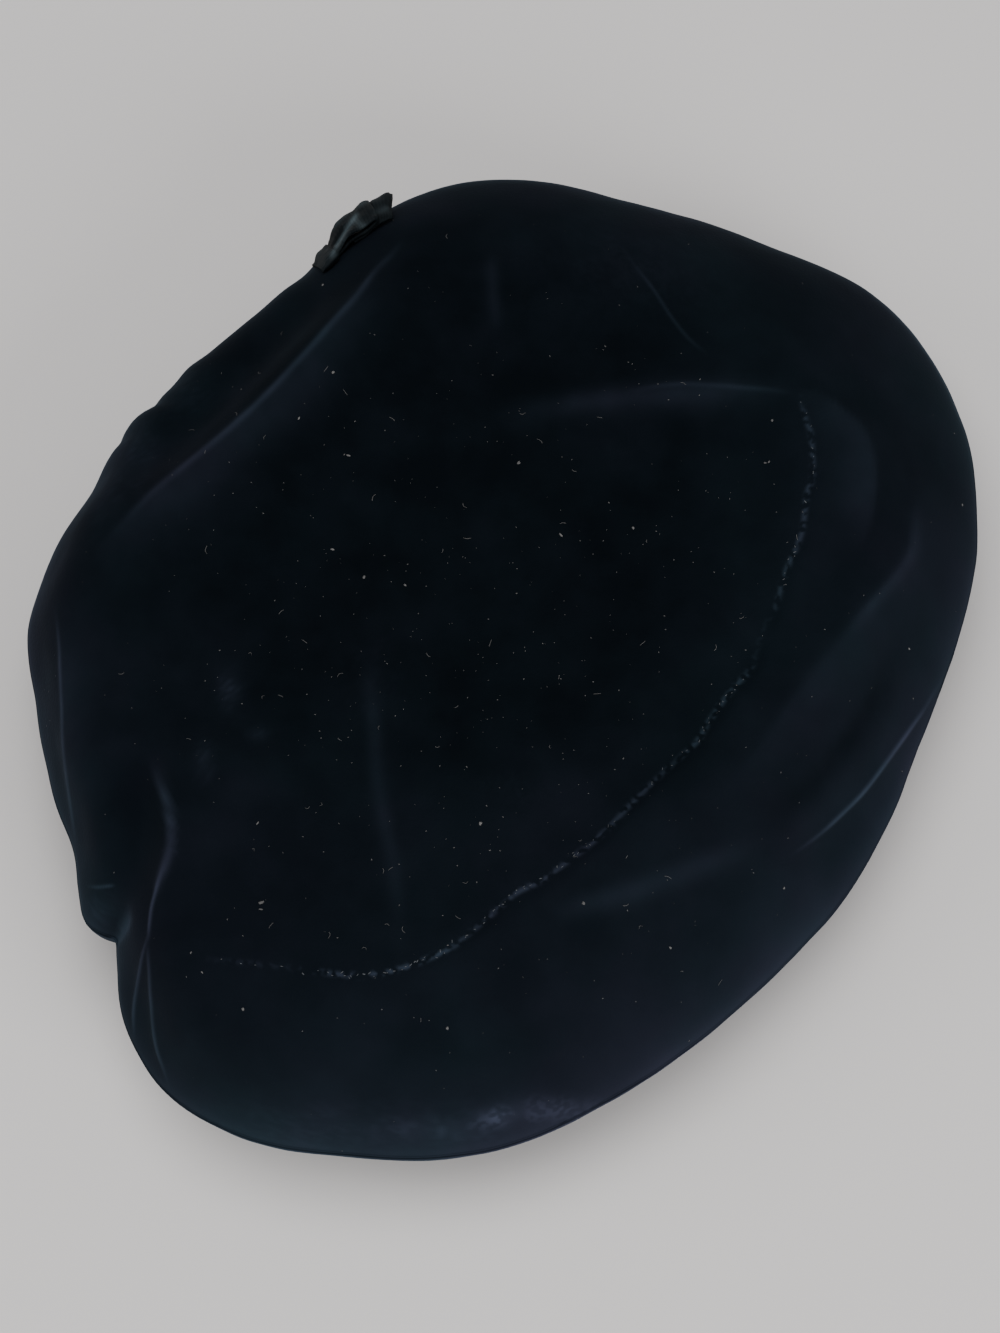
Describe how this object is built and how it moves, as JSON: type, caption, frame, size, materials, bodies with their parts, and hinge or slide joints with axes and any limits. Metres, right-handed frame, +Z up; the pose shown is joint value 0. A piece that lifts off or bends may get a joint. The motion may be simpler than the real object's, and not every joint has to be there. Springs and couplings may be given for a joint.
{
  "type": "slouch beret",
  "caption": "Soft wide beret with a slouching crown, an underside that turns in to a head opening, a plain headband inside and a small ribbon trim at the edge.",
  "frame": {"origin": "middle of the hat's plan, on the surface that its head opening rests on", "axes": "+Z up out of the crown, with the head opening facing down; +Y along the hat's longest reach, towards the side that carries the ribbon trim; +X across it"},
  "size_m": [0.2617, 0.2908, 0.0627],
  "materials": {
    "velvet": "black silk velvet with a short pile",
    "band_cloth": "plain black twill tape",
    "ribbon": "dark ribbed grosgrain"
  },
  "bodies": {
    "root": {"crown": "velvet", "underside": "velvet", "headband": "band_cloth", "trim_loop": "ribbon", "trim_tail": "ribbon", "trim_wrap": "ribbon"}
  },
  "joints": []
}
